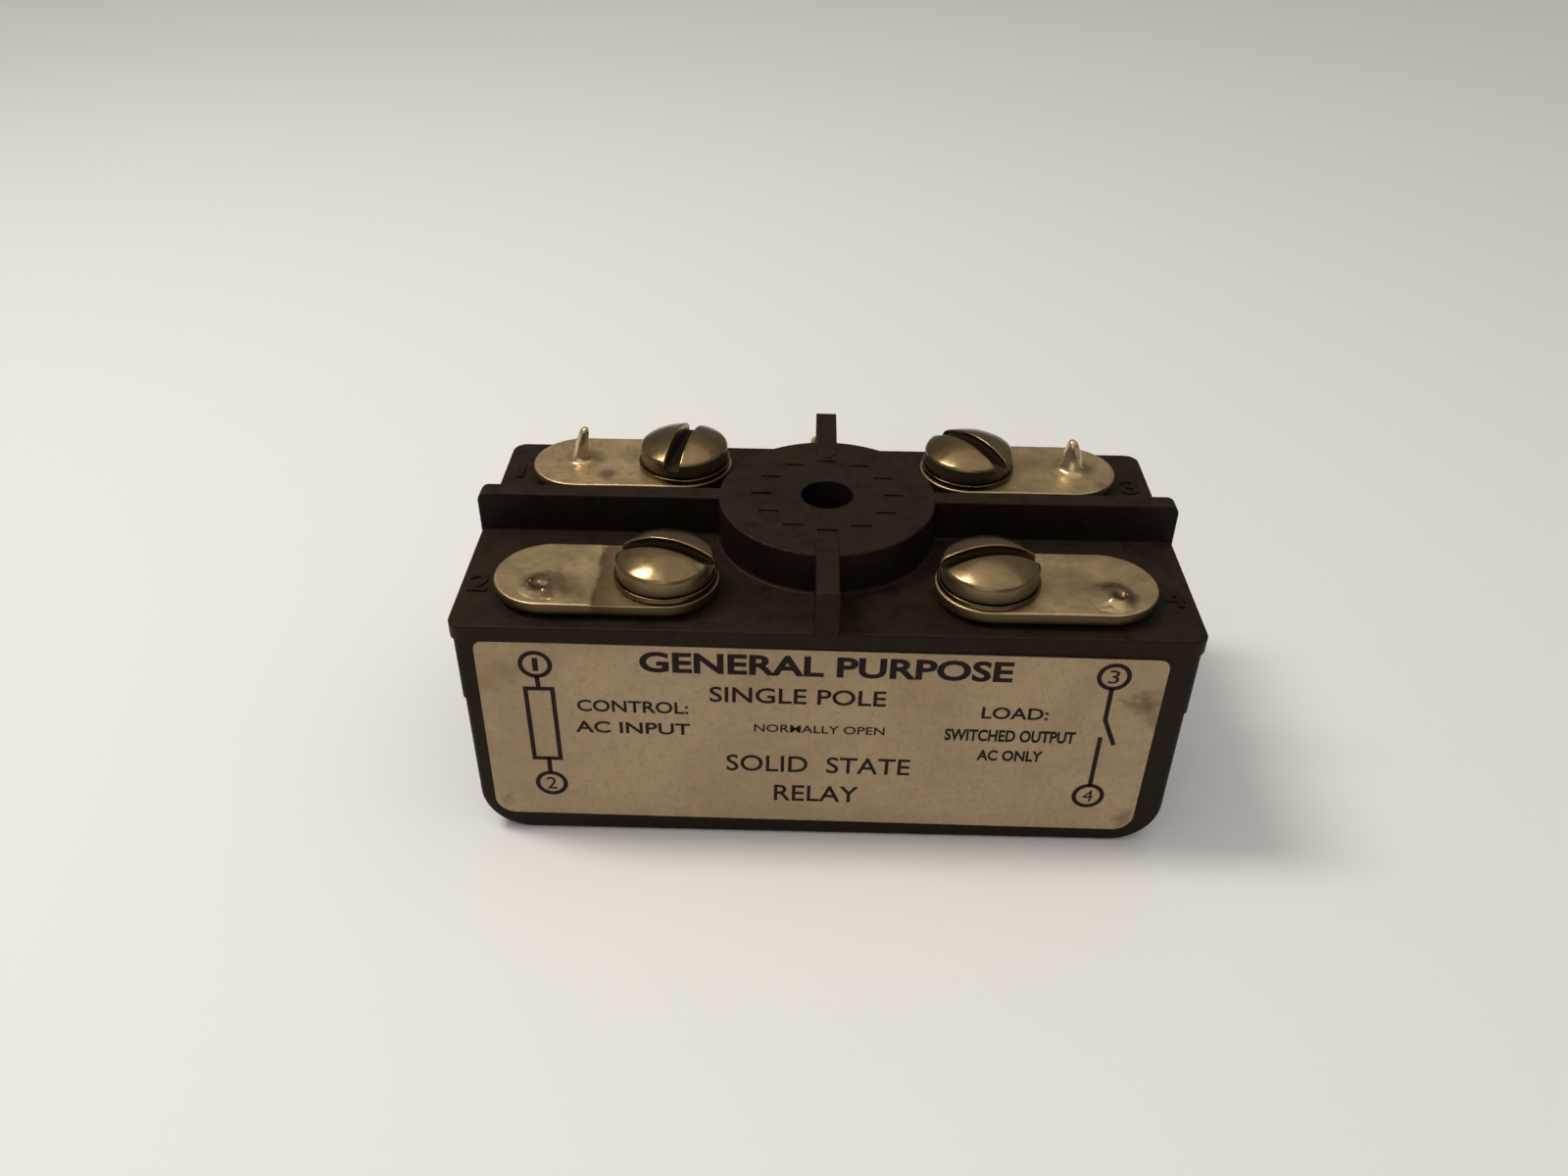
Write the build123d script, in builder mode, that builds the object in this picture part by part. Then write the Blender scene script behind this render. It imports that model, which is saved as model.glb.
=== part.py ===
from build123d import *
from math import sqrt
import os

# Solid state relay in a moulded case, with a screw terminal at each corner and one
# mounting hole through the middle. Millimetres, +Z up, X along the length. The origin
# is the centre of the underside, and the label is on the -Y side.
# Terminals 1 and 2 are the control pair (-X), 3 and 4 the load pair (+X).

os.makedirs("parts", exist_ok=True)

# Outside of the case
length = 57.2
width = 28.0
case_top = 21.5
lip_height = 1.4
lip_overhang = 0.3
lip_corner_radius = 1.2
lip_edge_radius = 0.2
end_step = 0.15
end_step_height = 14.2
bottom_corner_radius = 4.0
body_edge_radius = 0.5

# Inside of the case
end_wall = 1.5
side_wall = 1.2
floor_thickness = 1.5
rim_depth = 1.6
rim_thickness = 1.2
rim_gap = 0.08

# Barriers and hub moulded on the cover
barrier_height = 3.6
barrier_thickness = 1.6
barrier_corner_radius = 0.8
barrier_edge_radius = 0.15
foot_radius = 0.3
rib_thickness = 1.8
rib_height = 3.7
rib_start = 7.0
hub_radius = 8.85
mark_ring_radius = 5.4
mark_count = 12
mark_length = 1.6
mark_width = 0.45
mark_depth = 0.12

# Mounting hole, clearance for a 4 mm or No. 8 screw
bore_radius = 2.15
sleeve_radius = 3.2
sleeve_chamfer = 0.15

# Screw terminals, No. 8-32 thread
terminal_x = 12.45
terminal_y = 8.7
lead_x = 21.6
lead_y_back = 8.9
lead_y_front = 10.4
plate_width = 8.3
plate_thickness = 0.9
plate_edge_radius = 0.25
plate_screw_hole_radius = 2.4
plate_lead_hole_radius = 0.5
pad_height = 0.5
screw_pad_radius = 3.3
lead_pad_radius = 1.9
washer_radius = 4.0
washer_hole_radius = 2.15
washer_thickness = 0.45
washer_edge_radius = 0.12
thread_radius = 2.083
thread_length = 6.35
thread_end_chamfer = 0.4
head_radius = 3.8
head_side_height = 1.35
head_height = 2.5
head_edge_radius = 0.3
slot_width = 1.3
slot_depth = 1.85
insert_radius = 2.8
insert_length = 7.1
insert_bore_radius = 2.133
insert_groove_depth = 0.25
insert_groove_width = 0.8
boss_radius = 3.7
boss_floor = 0.8

# Leads from the circuit board to the terminals
lead_radius = 0.32
lead_tail = 0.9
lead_hole_radius = 0.7

# Label
label_length = 52.8
label_height = 18.0
label_thickness = 0.1
label_center_x = -0.45
label_center_z = 10.74
label_tilt = -0.55
label_top_corner_radius = 0.8
label_bottom_corner_radius = 1.6

# Base plate, set into the floor from inside
base_face_length = 44.0
base_face_width = 19.0
base_flange_length = 48.0
base_flange_width = 23.0
base_flange_thickness = 1.0
base_gap = 0.05

# Power section, on the base plate
triac_x = 13.0
insulator_length = 16.0
insulator_width = 12.0
insulator_thickness = 0.6
spreader_length = 14.0
spreader_width = 10.5
spreader_thickness = 1.0
triac_length = 10.2
triac_width = 9.0
triac_height = 2.4
triac_chamfer = 0.3
leg_pitch = 2.54
leg_size = 0.7
leg_x = 19.6
leg_lift = 0.8
leg_tail = 0.8

# Circuit board and what is on it
board_length = 52.0
board_width = 23.6
board_thickness = 1.2
board_bottom = 7.0
board_corner_radius = 1.0
board_sleeve_gap = 0.3
potting_top = 13.6
wire_radius = 0.3
wire_bend_radius = 0.5
optocoupler_x = -9.5
optocoupler_length = 6.4
optocoupler_width = 8.8
optocoupler_height = 3.5
optocoupler_lift = 0.5
optocoupler_chamfer = 0.4
optocoupler_leg_span = 7.6
optocoupler_leg_height = 2.2
optocoupler_leg_thickness = 0.25
optocoupler_leg_width = 0.5
transistor_place = (-18.5, -5.0)
transistor_radius = 2.3
transistor_flat = 1.3
transistor_height = 4.6
transistor_lift = 0.6
transistor_pitch = 1.27
capacitor_place = (12.0, 7.0)
capacitor_length = 10.0
capacitor_width = 4.5
capacitor_height = 5.0
capacitor_edge_radius = 0.4

# X and Y of the middle, body radius, body length, and distance between the wires
axial_places = {
    "input_resistor": (-18.5, 3.0, 1.15, 6.3, 9.0),
    "protection_diode": (-18.5, -0.6, 0.9, 4.2, 8.0),
    "gate_resistor": (9.5, -2.0, 1.15, 6.3, 9.0),
    "snubber_resistor": (14.5, -6.5, 1.6, 9.0, 12.0),
}

# Worked out from the above
lip_bottom = case_top - lip_height
body_length = length - 2 * lip_overhang
body_width = width - 2 * lip_overhang
lower_length = body_length - 2 * end_step
cavity_length = lower_length - 2 * end_wall
cavity_width = body_width - 2 * side_wall
rim_length = cavity_length - 2 * rim_gap
rim_width = cavity_width - 2 * rim_gap
pad_top = case_top + pad_height
plate_top = pad_top + plate_thickness
head_bottom = plate_top + washer_thickness
thread_bottom = head_bottom - thread_length
insert_bottom = pad_top - insert_length
boss_bottom = insert_bottom - boss_floor
base_top = floor_thickness + base_flange_thickness
board_top = board_bottom + board_thickness
triac_bottom = base_top + insulator_thickness + spreader_thickness
leg_bottom = triac_bottom + leg_lift
body_front = -body_width / 2

# Terminal number, side along X, side along Y, and the angle of its screw's slot
terminals = [
    (1, -1, 1, 78),
    (2, -1, -1, -14),
    (3, 1, 1, -48),
    (4, 1, -1, 9),
]
screw_points = [(side_x * terminal_x, side_y * terminal_y) for _, side_x, side_y, _ in terminals]
lead_points = [
    (side_x * lead_x, lead_y_back if side_y > 0 else -lead_y_front)
    for _, side_x, side_y, _ in terminals
]

# Distance between the centres of each strap's round ends
plate_spans = {1: 9.15, 2: 9.15, 3: 8.75, 4: 8.9}

# How far each lead stands above its plate, and its solder: base radius, waist and
# shoulder of the curve from the base to the tip, and full height
lead_stubs = {1: 2.0, 2: 0.2, 3: 1.8, 4: 0.2}
solder_shapes = {
    1: (1.25, 0.15, 0.6, 3.15),
    2: (2.1, 1.2, 1.4, 0.4),
    3: (1.9, 0.45, 1.1, 2.8),
    4: (2.1, 1.2, 1.5, 0.5),
}


def save(builder, name):
    """Label a finished piece and write it under the same name."""
    builder.part.label = name
    export_step(builder.part, f"parts/{name}.step")


def upright(x, y, z):
    """Plane through (x, y, z) whose local axes run along X and Z."""
    return Plane(origin=(x, y, z), x_dir=(1, 0, 0), z_dir=(0, -1, 0))


def vertical_axis(x, y):
    """Vertical line through (x, y)."""
    return Axis((x, y, 0), (0, 0, 1))


# ---- Case -------------------------------------------------------------------------

with BuildPart() as case_body:
    # Lower block, with large rounds where the ends meet the underside
    with BuildSketch(Plane.XZ) as lower_profile:
        with Locations((0, end_step_height / 2)):
            Rectangle(lower_length, end_step_height)
        fillet(lower_profile.vertices().group_by(Axis.Y)[0], bottom_corner_radius)
    extrude(amount=body_width / 2, both=True)
    front_outline = case_body.faces().sort_by(Axis.Y)[0].edges()
    back_outline = case_body.faces().sort_by(Axis.Y)[-1].edges()
    top_edges = case_body.faces().sort_by(Axis.Z)[-1].edges()
    fillet([edge for edge in front_outline + back_outline if edge not in top_edges], body_edge_radius)
    # Upper block, slightly longer, up to the cover
    with BuildSketch(Plane.XY.offset(end_step_height)):
        RectangleRounded(body_length, body_width, body_edge_radius)
    extrude(amount=lip_bottom - end_step_height)
    # Cavity, open at the top
    with BuildSketch(Plane.XY.offset(floor_thickness)):
        Rectangle(cavity_length, cavity_width)
    extrude(amount=case_top, mode=Mode.SUBTRACT)
    # Window for the base plate
    with BuildSketch(Plane.XY):
        Rectangle(base_face_length + 2 * base_gap, base_face_width + 2 * base_gap)
    extrude(amount=floor_thickness, mode=Mode.SUBTRACT)
save(case_body, "case_body")


def foot_outline(edge):
    """Small concave round from an upright face at edge to the top of the cover."""
    middle = foot_radius * (1 - sqrt(0.5))
    Line((edge, case_top), (edge + foot_radius, case_top))
    ThreePointArc(
        (edge + foot_radius, case_top),
        (edge + middle, case_top + middle),
        (edge, case_top + foot_radius),
    )
    Line((edge, case_top + foot_radius), (edge, case_top))


with BuildPart() as hub:
    with BuildSketch(Plane.XY.offset(lip_bottom)):
        Circle(hub_radius)
    extrude(amount=lip_height + barrier_height)
    fillet(hub.edges().sort_by(Axis.Z)[-1], barrier_edge_radius)
    with BuildSketch(Plane.XZ):
        with BuildLine():
            foot_outline(hub_radius)
        make_face()
    revolve(axis=Axis.Z)

with BuildPart() as long_barrier:
    with BuildSketch(Plane.XZ) as barrier_profile:
        with Locations((0, lip_bottom + (lip_height + barrier_height) / 2)):
            Rectangle(length, lip_height + barrier_height)
        fillet(barrier_profile.vertices().group_by(Axis.Y)[-1], barrier_corner_radius)
    extrude(amount=barrier_thickness / 2, both=True)
    front_outline = long_barrier.faces().sort_by(Axis.Y)[0].edges()
    back_outline = long_barrier.faces().sort_by(Axis.Y)[-1].edges()
    bottom_edges = long_barrier.faces().sort_by(Axis.Z)[0].edges()
    fillet([edge for edge in front_outline + back_outline if edge not in bottom_edges], barrier_edge_radius)
    with BuildSketch(Plane.YZ) as foot_profile:
        with BuildLine():
            foot_outline(barrier_thickness / 2)
        make_face()
        mirror(about=Plane.YZ)
    extrude(amount=length / 2 - lip_edge_radius, both=True)

with BuildPart() as cross_ribs:
    with BuildSketch(Plane.XY.offset(lip_bottom)):
        for side in (-1, 1):
            with Locations((0, side * (rib_start + width / 2) / 2)):
                Rectangle(rib_thickness, width / 2 - rib_start)
            with Locations((0, side * rib_start)):
                Circle(rib_thickness / 2)
    extrude(amount=lip_height + rib_height)
    fillet(cross_ribs.faces().sort_by(Axis.Z)[-2:].edges(), barrier_edge_radius)
    with BuildSketch(Plane.XZ) as foot_profile:
        with BuildLine():
            foot_outline(rib_thickness / 2)
        make_face()
        mirror(about=Plane.YZ)
    extrude(amount=width / 2 - lip_edge_radius, both=True)

with BuildPart() as terminal_cover:
    # Top plate, with a lip all round
    with BuildSketch(Plane.XY.offset(lip_bottom)):
        RectangleRounded(length, width, lip_corner_radius)
    extrude(amount=lip_height)
    fillet(terminal_cover.faces().sort_by(Axis.Z)[-1].edges(), lip_edge_radius)
    # Rim that plugs into the case
    with BuildSketch(Plane.XY.offset(lip_bottom)):
        Rectangle(rim_length, rim_width)
        Rectangle(rim_length - 2 * rim_thickness, rim_width - 2 * rim_thickness, mode=Mode.SUBTRACT)
    extrude(amount=-rim_depth)
    # Bosses that hold the threaded inserts
    with BuildSketch(Plane.XY.offset(lip_bottom)):
        with Locations(*screw_points):
            Circle(boss_radius)
    extrude(amount=boss_bottom - lip_bottom)
    # Pads that hold the terminal plates off the top
    with BuildSketch(Plane.XY.offset(case_top)):
        with Locations(*screw_points):
            Circle(screw_pad_radius)
        with Locations(*lead_points):
            Circle(lead_pad_radius)
    extrude(amount=pad_height)
    # Hub, barrier along the length, and ribs between the control and load sides
    for moulding in (hub, long_barrier, cross_ribs):
        add(moulding.part)
    # Plain marks round the hub
    with BuildSketch(Plane.XY.offset(case_top + barrier_height)):
        with PolarLocations(mark_ring_radius, mark_count, rotate=False):
            Rectangle(mark_length, mark_width)
    extrude(amount=-mark_depth, mode=Mode.SUBTRACT)
    # Mounting hole, insert pockets and lead holes
    with Locations((0, 0, case_top + barrier_height)):
        Hole(bore_radius)
    with Locations(*[(x, y, pad_top) for x, y in screw_points]):
        Hole(insert_radius, depth=insert_length)
    with Locations(*[(x, y, pad_top) for x, y in lead_points]):
        Hole(lead_hole_radius)
save(terminal_cover, "terminal_cover")

with BuildPart() as base_plate:
    with BuildSketch(Plane.XY):
        Rectangle(base_face_length, base_face_width)
    extrude(amount=floor_thickness)
    with BuildSketch(Plane.XY.offset(floor_thickness)):
        Rectangle(base_flange_length, base_flange_width)
    extrude(amount=base_flange_thickness)
    with Locations((0, 0, base_top)):
        Hole(bore_radius)
save(base_plate, "base_plate")

with BuildPart() as mounting_sleeve:
    with BuildSketch(Plane.XY.offset(base_top)):
        Circle(sleeve_radius)
        Circle(bore_radius, mode=Mode.SUBTRACT)
    extrude(amount=lip_bottom - base_top)
    outer_edges = mounting_sleeve.edges().filter_by(GeomType.CIRCLE).filter_by(
        lambda edge: edge.radius > bore_radius + sleeve_chamfer
    )
    chamfer(outer_edges, sleeve_chamfer)
save(mounting_sleeve, "mounting_sleeve")

with BuildPart() as label:
    with BuildSketch(upright(label_center_x, body_front, label_center_z)) as label_outline:
        Rectangle(label_length, label_height, rotation=label_tilt)
        fillet(label_outline.vertices().sort_by(Axis.Y)[:2], label_bottom_corner_radius)
        fillet(label_outline.vertices().sort_by(Axis.Y)[-2:], label_top_corner_radius)
    extrude(amount=label_thickness)
save(label, "label")

# ---- Terminals --------------------------------------------------------------------


def terminal_plate(x, y, reach, lead_point):
    """Tinned strap that reaches out from the screw, at (x, y), past the lead."""
    with BuildPart() as plate:
        with BuildSketch(Plane.XY.offset(pad_top)):
            with Locations((x + reach / 2, y)):
                SlotCenterToCenter(abs(reach), plate_width)
        extrude(amount=plate_thickness)
        fillet(plate.faces().sort_by(Axis.Z)[-1].edges(), plate_edge_radius)
        with Locations((x, y, plate_top)):
            Hole(plate_screw_hole_radius)
        with Locations((*lead_point, plate_top)):
            Hole(plate_lead_hole_radius)
    return plate


def screw_washer(x, y):
    """Flat washer that lifts with the screw."""
    with BuildPart() as washer:
        with BuildSketch(Plane.XY.offset(plate_top)):
            with Locations((x, y)):
                Circle(washer_radius)
                Circle(washer_hole_radius, mode=Mode.SUBTRACT)
        extrude(amount=washer_thickness)
        rims = washer.edges().filter_by(GeomType.CIRCLE).filter_by(
            lambda edge: edge.radius > washer_hole_radius
        )
        fillet(rims, washer_edge_radius)
    return washer


def terminal_screw(x, y, slot_angle):
    """Slotted screw with a straight-sided, domed head. The thread is a plain cylinder."""
    with BuildPart() as screw:
        with BuildSketch(upright(x, y, head_bottom)) as head_profile:
            with BuildLine():
                Line((0, 0), (head_radius, 0))
                Line((head_radius, 0), (head_radius, head_side_height))
                TangentArc((0, head_height), (head_radius, head_side_height), tangent=(1, 0))
                Line((0, head_height), (0, 0))
            make_face()
            shoulder = head_profile.vertices().group_by(Axis.X)[-1].sort_by(Axis.Y)[-1]
            fillet(shoulder, head_edge_radius)
        revolve(axis=vertical_axis(x, y))
        with BuildSketch(Plane.XY.offset(head_bottom + head_height)):
            with Locations((x, y)):
                Rectangle(3 * head_radius, slot_width, rotation=slot_angle)
        extrude(amount=-slot_depth, mode=Mode.SUBTRACT)
        with BuildSketch(Plane.XY.offset(thread_bottom)):
            with Locations((x, y)):
                Circle(thread_radius)
        extrude(amount=thread_length)
        chamfer(screw.edges().sort_by(Axis.Z)[0], thread_end_chamfer)
    return screw


def threaded_insert(x, y):
    """Brass insert with two grooves that the moulding grips."""
    with BuildPart() as insert:
        with BuildSketch(Plane.XY.offset(insert_bottom)):
            with Locations((x, y)):
                Circle(insert_radius)
        extrude(amount=insert_length)
        for height in (1 / 3, 2 / 3):
            with BuildSketch(Plane.XY.offset(insert_bottom + height * insert_length)):
                with Locations((x, y)):
                    Circle(insert_radius)
                    Circle(insert_radius - insert_groove_depth, mode=Mode.SUBTRACT)
            extrude(amount=insert_groove_width / 2, both=True, mode=Mode.SUBTRACT)
        with Locations((x, y, pad_top)):
            Hole(insert_bore_radius)
    return insert


def lead(x, y, stub):
    """Wire from the circuit board up through the terminal plate."""
    with BuildPart() as wire:
        with BuildSketch(Plane.XY.offset(board_bottom - lead_tail)):
            with Locations((x, y)):
                Circle(lead_radius)
        extrude(amount=plate_top + stub - board_bottom + lead_tail)
    return wire


def solder_joint(x, y, stub, shape):
    """Solder round a lead where it comes through its plate."""
    base_radius, waist, shoulder, full_height = shape
    with BuildPart() as solder:
        with BuildSketch(upright(x, y, plate_top)):
            with BuildLine():
                Line((0, 0), (base_radius, 0))
                Bezier((base_radius, 0), (waist, 0), (shoulder, full_height), (0, full_height))
                Line((0, full_height), (0, 0))
            make_face()
        revolve(axis=vertical_axis(x, y))
        with BuildSketch(Plane.XY.offset(plate_top)):
            with Locations((x, y)):
                Circle(lead_radius)
        extrude(amount=stub, mode=Mode.SUBTRACT)
    return solder


leads = []
for (number, side_x, _, slot_angle), screw_point, lead_point in zip(terminals, screw_points, lead_points):
    lead_stub = lead_stubs[number]
    leads.append(lead(*lead_point, lead_stub))
    save(leads[-1], f"lead_{number}")
    plate_reach = side_x * plate_spans[number]
    save(terminal_plate(*screw_point, plate_reach, lead_point), f"terminal_plate_{number}")
    save(threaded_insert(*screw_point), f"threaded_insert_{number}")
    save(screw_washer(*screw_point), f"screw_washer_{number}")
    save(terminal_screw(*screw_point, slot_angle), f"terminal_screw_{number}")
    save(solder_joint(*lead_point, lead_stub, solder_shapes[number]), f"solder_joint_{number}")

# ---- Inside -----------------------------------------------------------------------

with BuildPart() as ceramic_insulator:
    with BuildSketch(Plane.XY.offset(base_top)):
        with Locations((triac_x, 0)):
            Rectangle(insulator_length, insulator_width)
    extrude(amount=insulator_thickness)
save(ceramic_insulator, "ceramic_insulator")

with BuildPart() as heat_spreader:
    with BuildSketch(Plane.XY.offset(base_top + insulator_thickness)):
        with Locations((triac_x, 0)):
            Rectangle(spreader_length, spreader_width)
    extrude(amount=spreader_thickness)
save(heat_spreader, "heat_spreader")

with BuildPart() as power_triac:
    with BuildSketch(Plane.XY.offset(triac_bottom)):
        with Locations((triac_x, 0)):
            Rectangle(triac_length, triac_width)
    extrude(amount=triac_height)
    chamfer(power_triac.faces().sort_by(Axis.Z)[-1].edges(), triac_chamfer)
    # Legs out of the end and up through the board
    for leg_y in (-leg_pitch, 0, leg_pitch):
        with BuildSketch(upright(0, leg_y, 0)):
            with BuildLine():
                Polyline(
                    (triac_x, leg_bottom),
                    (leg_x + leg_size / 2, leg_bottom),
                    (leg_x + leg_size / 2, board_top + leg_tail),
                    (leg_x - leg_size / 2, board_top + leg_tail),
                    (leg_x - leg_size / 2, leg_bottom + leg_size),
                    (triac_x, leg_bottom + leg_size),
                    close=True,
                )
            make_face()
        extrude(amount=leg_size / 2, both=True)
save(power_triac, "power_triac")

with BuildPart() as circuit_board:
    with BuildSketch(Plane.XY.offset(board_bottom)):
        RectangleRounded(board_length, board_width, board_corner_radius)
        Circle(sleeve_radius + board_sleeve_gap, mode=Mode.SUBTRACT)
        with Locations(*lead_points):
            Circle(lead_radius, mode=Mode.SUBTRACT)
        with Locations(*[(leg_x, leg_y) for leg_y in (-leg_pitch, 0, leg_pitch)]):
            Rectangle(leg_size, leg_size, mode=Mode.SUBTRACT)
    extrude(amount=board_thickness)
save(circuit_board, "circuit_board")


def axial_component(x, y, body_radius, body_length, span):
    """Resistor or diode lying along X, with its wires bent down to the board."""
    with BuildPart() as component:
        axis_height = board_top + body_radius
        with BuildLine(upright(x, y, 0)) as wire:
            FilletPolyline(
                (-span / 2, board_top),
                (-span / 2, axis_height),
                (span / 2, axis_height),
                (span / 2, board_top),
                radius=wire_bend_radius,
            )
        with BuildSketch(Plane(origin=(x - span / 2, y, board_top), z_dir=(0, 0, 1))):
            Circle(wire_radius)
        sweep(path=wire.wires()[0])
        with BuildSketch(Plane(origin=(x - body_length / 2, y, axis_height), z_dir=(1, 0, 0))):
            Circle(body_radius)
        extrude(amount=body_length)
        ends = component.edges().filter_by(GeomType.CIRCLE).filter_by(
            lambda edge: edge.radius > 2 * wire_radius
        )
        fillet(ends, body_radius / 3)
    return component


axial_pieces = {}
for name, place in axial_places.items():
    axial_pieces[name] = axial_component(*place)
    save(axial_pieces[name], name)

with BuildPart() as optocoupler:
    with BuildSketch(Plane.XY.offset(board_top + optocoupler_lift)):
        with Locations((optocoupler_x, 0)):
            Rectangle(optocoupler_length, optocoupler_width)
    extrude(amount=optocoupler_height)
    chamfer(optocoupler.edges().group_by(Axis.Z)[-1], optocoupler_chamfer)
    # Three legs a side, bent down to the board
    for leg_y in (-leg_pitch, 0, leg_pitch):
        with BuildSketch(upright(optocoupler_x, leg_y, board_top)):
            with Locations((0, optocoupler_leg_height / 2)):
                Rectangle(optocoupler_leg_span, optocoupler_leg_height)
            with Locations((0, optocoupler_leg_height / 2 - optocoupler_leg_thickness)):
                Rectangle(
                    optocoupler_leg_span - 2 * optocoupler_leg_thickness,
                    optocoupler_leg_height,
                    mode=Mode.SUBTRACT,
                )
        extrude(amount=optocoupler_leg_width / 2, both=True)
save(optocoupler, "optocoupler")

with BuildPart() as control_transistor:
    with BuildSketch(Plane.XY.offset(board_top + transistor_lift)):
        with Locations(transistor_place):
            Circle(transistor_radius)
        with Locations((transistor_place[0], transistor_place[1] - transistor_radius - transistor_flat)):
            Rectangle(2 * transistor_radius, 2 * transistor_radius, mode=Mode.SUBTRACT)
    extrude(amount=transistor_height)
    with BuildSketch(Plane.XY.offset(board_top)):
        with Locations(transistor_place):
            with GridLocations(transistor_pitch, 1, 3, 1):
                Circle(wire_radius)
    extrude(amount=transistor_lift)
save(control_transistor, "control_transistor")

with BuildPart() as snubber_capacitor:
    with BuildSketch(Plane.XY.offset(board_top)):
        with Locations(capacitor_place):
            Rectangle(capacitor_length, capacitor_width)
    extrude(amount=capacitor_height)
    fillet(snubber_capacitor.edges().group_by(Axis.Z)[-1], capacitor_edge_radius)
save(snubber_capacitor, "snubber_capacitor")

with BuildPart() as potting_compound:
    with BuildSketch(Plane.XY.offset(floor_thickness)):
        Rectangle(cavity_length, cavity_width)
    extrude(amount=potting_top - floor_thickness)
    # Everything that it surrounds
    for buried in [
        base_plate,
        mounting_sleeve,
        ceramic_insulator,
        heat_spreader,
        power_triac,
        circuit_board,
        optocoupler,
        control_transistor,
        snubber_capacitor,
        *axial_pieces.values(),
        *leads,
    ]:
        add(buried.part, mode=Mode.SUBTRACT)
    with BuildSketch(Plane.XY):
        Circle(sleeve_radius)
    extrude(amount=potting_top, mode=Mode.SUBTRACT)
save(potting_compound, "potting_compound")
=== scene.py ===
import bmesh
import bpy
import math
from math import cos, hypot, pi, radians, sin, sqrt, tau
from mathutils import Matrix, Vector, noise


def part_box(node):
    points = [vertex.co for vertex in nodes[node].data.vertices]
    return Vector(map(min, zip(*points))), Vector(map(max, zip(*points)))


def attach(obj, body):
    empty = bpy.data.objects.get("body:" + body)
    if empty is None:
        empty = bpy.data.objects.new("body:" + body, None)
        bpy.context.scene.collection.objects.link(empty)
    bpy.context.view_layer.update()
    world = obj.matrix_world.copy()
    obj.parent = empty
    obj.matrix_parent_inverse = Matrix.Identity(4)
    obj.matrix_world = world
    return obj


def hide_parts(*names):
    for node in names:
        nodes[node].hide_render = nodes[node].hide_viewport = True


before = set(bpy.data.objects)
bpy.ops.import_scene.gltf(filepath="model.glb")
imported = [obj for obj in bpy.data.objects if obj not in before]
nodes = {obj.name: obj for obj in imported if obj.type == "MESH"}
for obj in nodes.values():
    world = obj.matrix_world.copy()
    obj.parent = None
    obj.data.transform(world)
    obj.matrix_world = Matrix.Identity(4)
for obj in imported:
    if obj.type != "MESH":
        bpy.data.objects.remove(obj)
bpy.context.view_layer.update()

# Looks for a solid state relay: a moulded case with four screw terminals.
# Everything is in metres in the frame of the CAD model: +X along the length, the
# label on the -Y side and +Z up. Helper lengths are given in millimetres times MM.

MM = 0.001
BODY = "case"
TERMINALS = (1, 2, 3, 4)

# ---- Node materials -------------------------------------------------------------


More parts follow.
